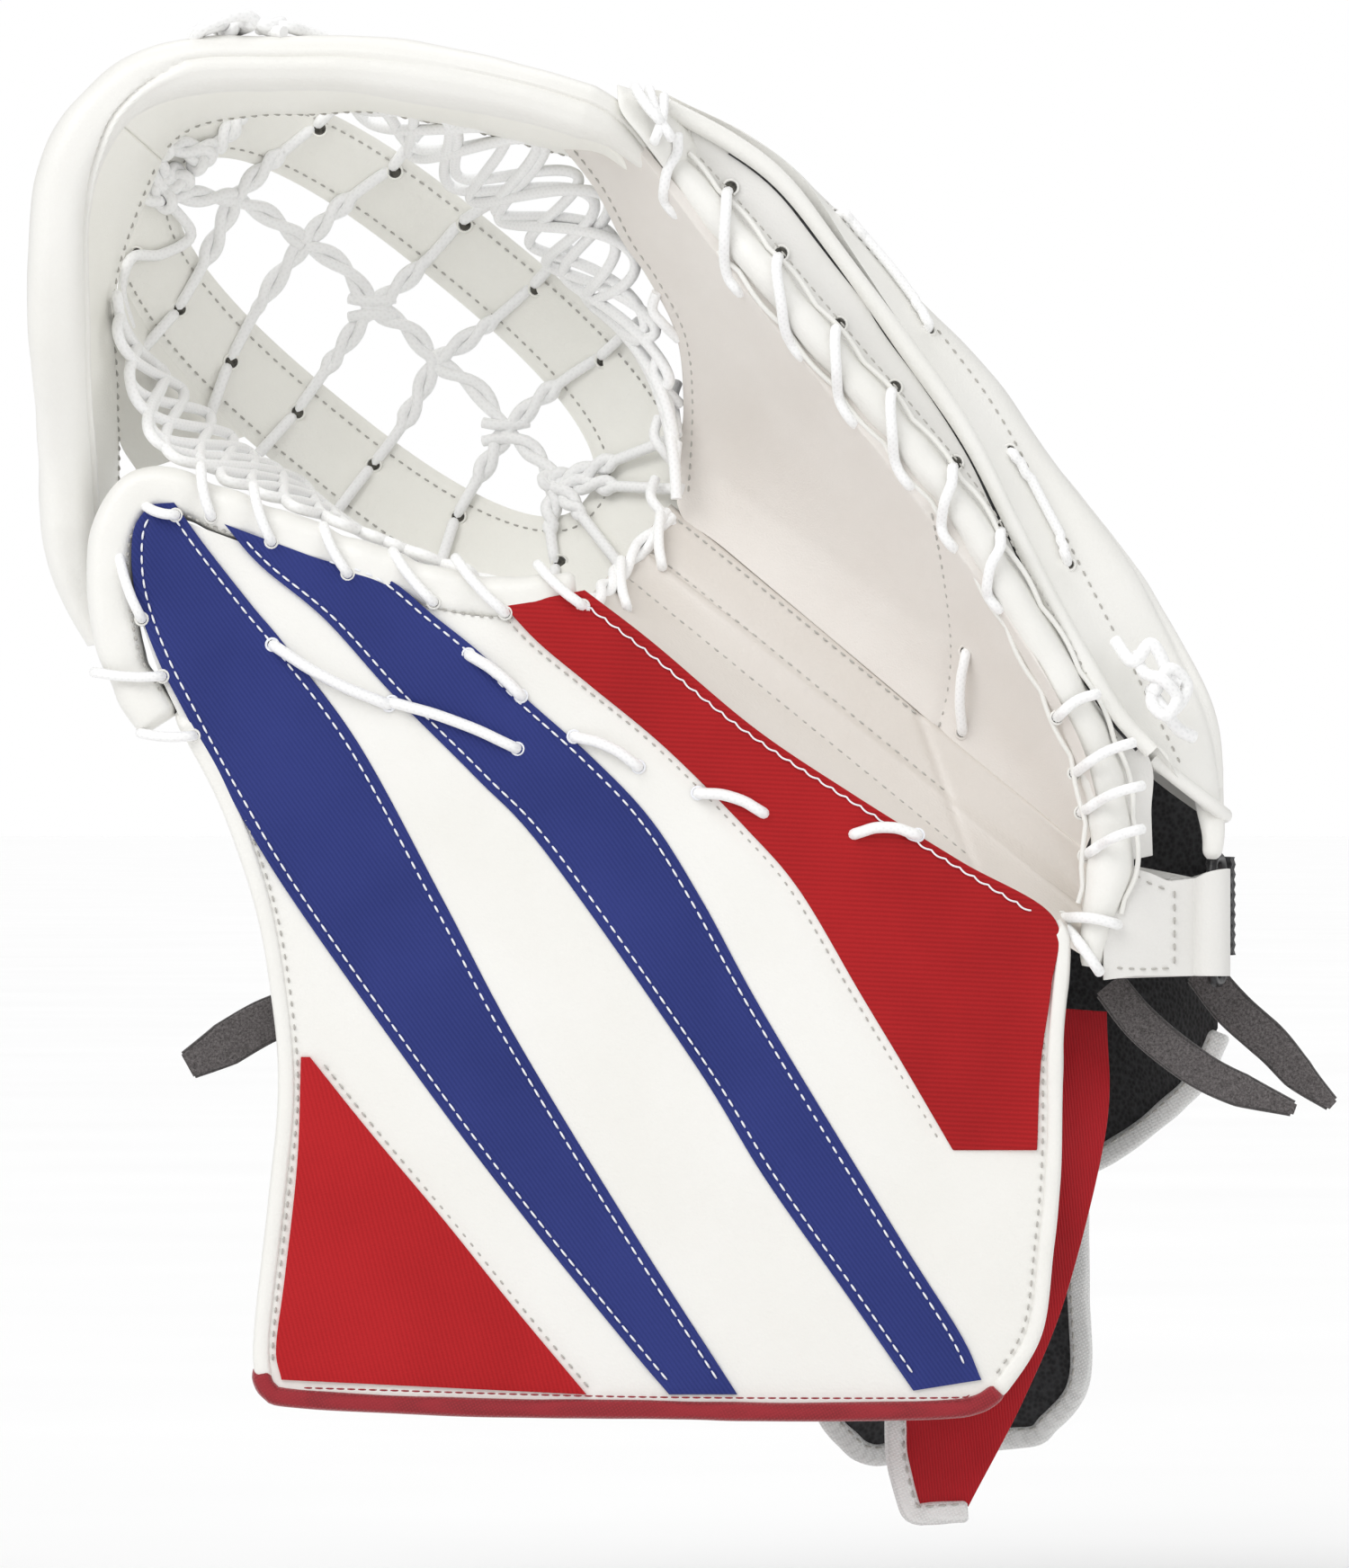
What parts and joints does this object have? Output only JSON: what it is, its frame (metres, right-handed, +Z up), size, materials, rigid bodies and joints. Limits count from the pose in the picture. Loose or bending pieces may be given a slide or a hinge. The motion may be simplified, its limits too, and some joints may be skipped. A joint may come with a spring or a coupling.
{
  "type": "goalie catch glove",
  "caption": "Laced ice hockey goalie catch glove: flat cuff and thumb board, dished palm, netted web with padded crossbar, wrist wraps and pull straps.",
  "frame": {"origin": "middle of the palm, where the wearer's hand carries the glove", "axes": "+Z up as shown, from the cuff hem to the crossbar; +X to the little-finger side; +Y from the open pocket to the back of the hand"},
  "size_m": [0.3651, 0.1304, 0.4248],
  "materials": {
    "white_leather": "smooth coated white leather with a fine grain",
    "palm_leather": "softer napped white leather",
    "blue_fabric": "coated blue fabric with fine diagonal ribs",
    "red_fabric": "coated red fabric with fine ribs",
    "dark_red_binding": "dark red folded binding",
    "white_tape": "woven white edge tape",
    "lace": "braided white polyester lace",
    "foam": "closed-cell foam",
    "stiffener": "moulded sheet",
    "black_lining": "black knitted lining",
    "grey_felt": "grey speckled felt with a dark edge",
    "black_metal": "black coated wire"
  },
  "bodies": {
    "hand": {"palm_panel": "palm_leather", "palm_foam": "foam", "palm_back": "white_leather", "perimeter_roll": "white_leather", "perimeter_lace": "lace", "finger_facing": "white_leather", "finger_piping": "white_leather", "finger_shell": "white_leather", "finger_pad": "black_lining", "backhand_foam": "foam", "backhand_cover": "white_leather", "backhand_tie": "lace", "hand_strap": "black_lining", "wrist_elastic": "black_lining", "ring_tab": "white_leather", "wrist_wrap": "black_lining", "wrist_wrap_binding": "white_tape", "crossbar_roll_upper": "white_leather", "crossbar_wall_upper": "white_leather", "crossbar_knot": "lace"},
    "web": {"web_band": "white_leather", "web_lace": "lace", "break_panel": "palm_leather", "finger_net_lace": "lace", "thumb_net_lace": "lace"},
    "thumb": {"cuff_face": "white_leather", "stripe_outer": "blue_fabric", "stripe_inner": "blue_fabric", "heel_panel": "red_fabric", "corner_panel": "red_fabric", "cuff_foam": "foam", "cuff_stiffener": "stiffener", "cuff_back": "black_lining", "cuff_binding_left": "white_tape", "cuff_binding_right": "white_tape", "cuff_hem": "dark_red_binding", "thumb_roll": "white_leather", "thumb_lace": "lace", "cuff_lace": "lace", "crossbar_roll_lower": "white_leather", "crossbar_wall_lower": "white_leather", "thumb_loop": "black_lining"},
    "ring": {"strap_ring": "black_metal"},
    "strap_lower": {"pull_strap_lower": "grey_felt"},
    "strap_upper": {"pull_strap_upper": "grey_felt"},
    "strap_left": {"pull_strap_left": "grey_felt"},
    "flap": {"side_flap": "red_fabric", "side_flap_binding": "white_tape"},
    "guard": {"forearm_guard": "black_lining", "forearm_guard_binding": "white_tape"}
  },
  "joints": [
    {"name": "web_fold", "type": "hinge", "parent": "hand", "child": "web", "pos_m": [-0.075, -0.018, 0.04], "axis": [-0.7741, 0, 0.6331], "range_deg": [0, 20], "stiffness_Nm_per_rad": 1.5, "springref_deg": -17.19, "deforming": ["finger_net_lace", "thumb_net_lace"]},
    {"name": "thumb_fold", "type": "hinge", "parent": "web", "child": "thumb", "pos_m": [-0.075, -0.018, 0.04], "axis": [-0.7741, 0, 0.6331], "range_deg": [0, 20], "stiffness_Nm_per_rad": 1.5, "springref_deg": -17.19},
    {"name": "ring_swing", "type": "hinge", "parent": "hand", "child": "ring", "pos_m": [0.0875, 0.014, -0.066], "axis": [0, 0, 1], "range_deg": [-20, 20], "stiffness_Nm_per_rad": 0.02, "deforming": ["wrist_elastic"]},
    {"name": "strap_lower_peel", "type": "hinge", "parent": "hand", "child": "strap_lower", "pos_m": [0.059, 0.022, -0.084], "axis": [-0.5595, 0, -0.8288], "range_deg": [0, 40], "stiffness_Nm_per_rad": 0.15, "springref_deg": -5.73},
    {"name": "strap_upper_peel", "type": "hinge", "parent": "hand", "child": "strap_upper", "pos_m": [0.085, 0.031, -0.08], "axis": [-0.717, 0, -0.6971], "range_deg": [0, 24], "stiffness_Nm_per_rad": 0.15, "springref_deg": -5.73},
    {"name": "strap_left_peel", "type": "hinge", "parent": "thumb", "child": "strap_left", "pos_m": [-0.166, 0.028, -0.09], "axis": [0.46, 0, -0.8879], "range_deg": [0, 40], "stiffness_Nm_per_rad": 0.15, "springref_deg": -5.73},
    {"name": "side_flap_swing", "type": "hinge", "parent": "hand", "child": "flap", "pos_m": [0.034, 0.04, -0.092], "axis": [1, 0, 0], "range_deg": [0, 12], "stiffness_Nm_per_rad": 0.4, "springref_deg": -5.73},
    {"name": "guard_swing", "type": "hinge", "parent": "hand", "child": "guard", "pos_m": [0.02, 0.092, -0.147], "axis": [1, 0, 0], "range_deg": [0, 40], "stiffness_Nm_per_rad": 0.4, "springref_deg": -5.73}
  ],
  "couplings": [
    {"joint": "web_fold", "follows": "thumb_fold", "ratio": 1}
  ]
}
